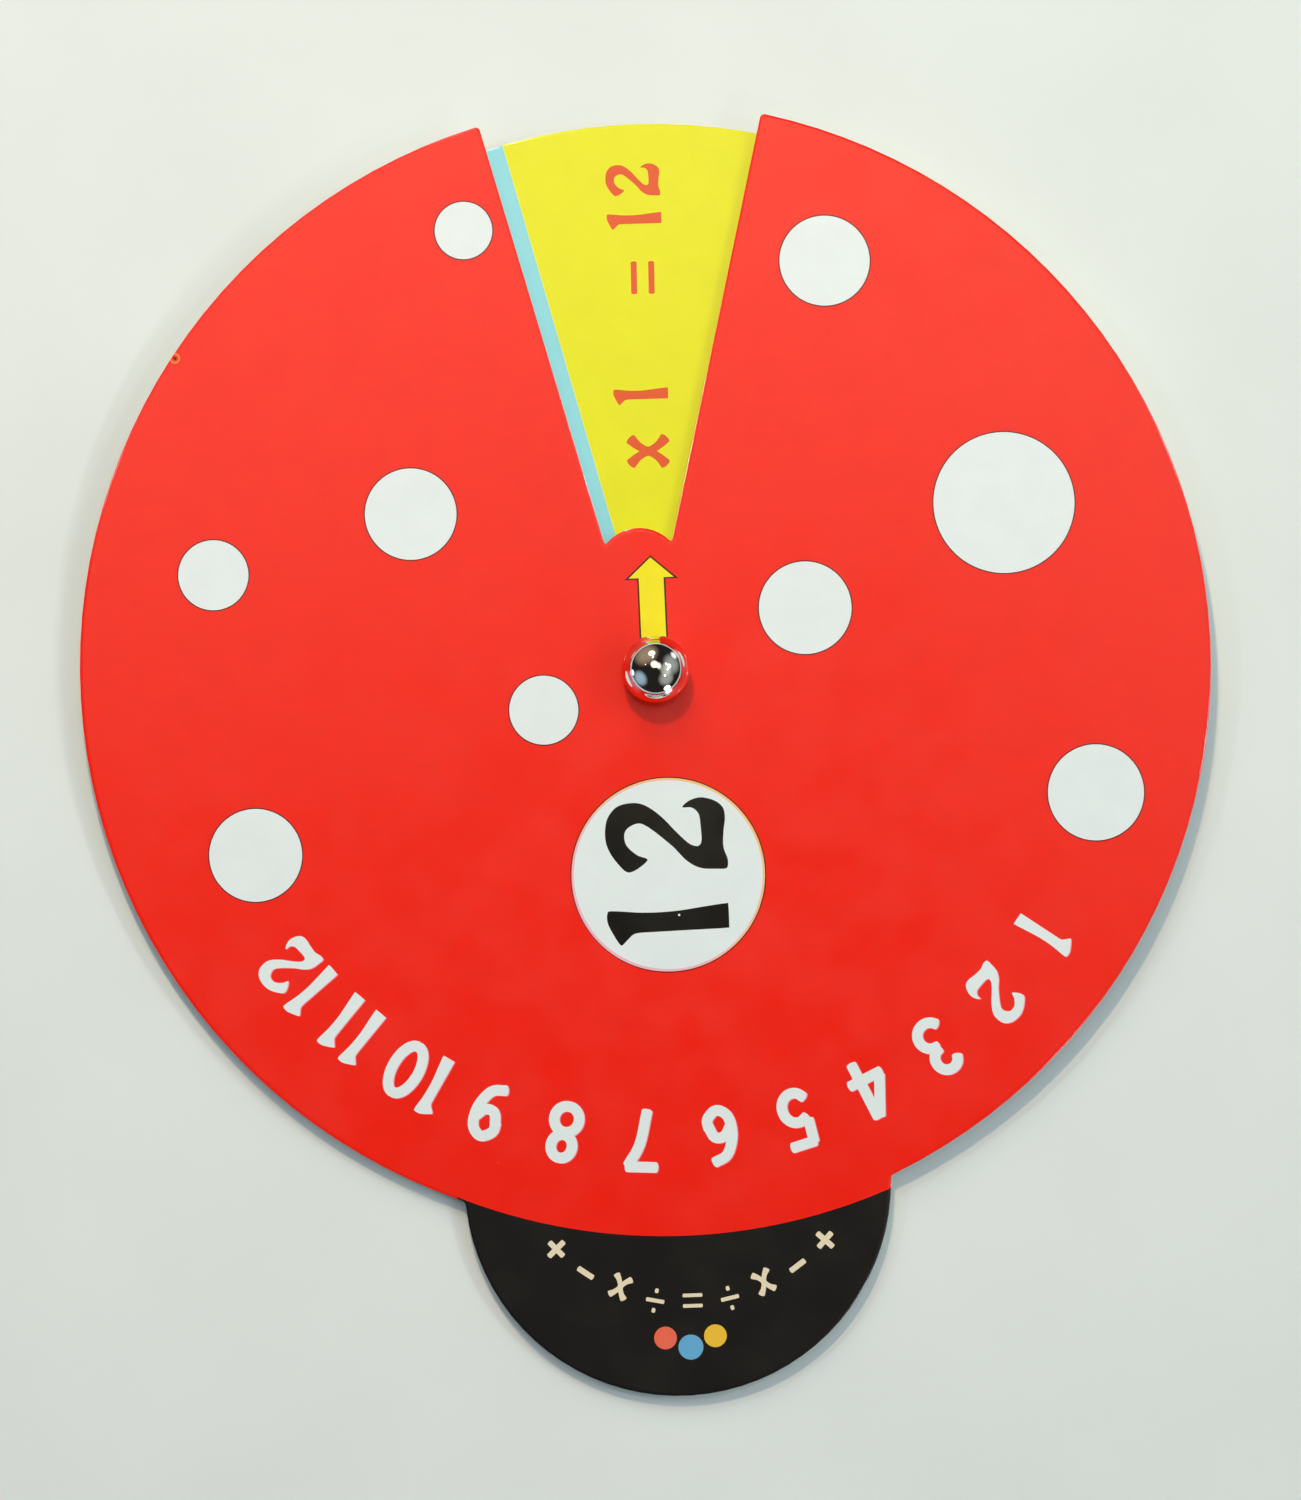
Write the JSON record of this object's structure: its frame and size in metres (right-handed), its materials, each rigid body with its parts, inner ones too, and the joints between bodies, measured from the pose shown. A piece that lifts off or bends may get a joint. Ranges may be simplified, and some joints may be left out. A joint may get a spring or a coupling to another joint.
{
  "type": "times-table wheel",
  "caption": "Round printed board with a wedge window and a handle tab over a turning sector wheel, held by a ball-headed pivot post.",
  "frame": {"origin": "on the pivot axis, at the underside of the rear rivet head, which is the lowest plane of the part", "axes": "+Z is the pivot axis and points out of the printed face; +Y runs from the pivot to the window; the handle tab points to -Y; +X is to the right of the printed face with the window at the top"},
  "size_m": [0.2, 0.2258, 0.0179],
  "materials": {
    "front_print": "gloss",
    "wheel_print": "gloss",
    "greyboard": "matte",
    "liner": "matte",
    "mirror_chrome": "polished",
    "nickel_rivet": "satin",
    "nickel_washer": "satin"
  },
  "bodies": {
    "front_board": {"front_core": "greyboard", "front_print_sheet": "front_print", "front_back_liner": "liner"},
    "wheel": {"wheel_core": "greyboard", "wheel_print_sheet": "wheel_print", "wheel_back_liner": "liner"},
    "pivot": {"ball_post": "mirror_chrome", "post_rivet": "nickel_rivet", "front_washer": "nickel_washer", "spacer_washer": "nickel_washer", "rear_washer": "nickel_washer"}
  },
  "joints": [
    {"name": "wheel_spin", "type": "hinge", "parent": "front_board", "child": "wheel", "pos_m": [0, 0, 0.00335], "axis": [0, 0, 1], "continuous": true},
    {"name": "pivot_turn", "type": "hinge", "parent": "front_board", "child": "pivot", "pos_m": [0, 0, 0.00545], "axis": [0, 0, 1], "continuous": true}
  ]
}
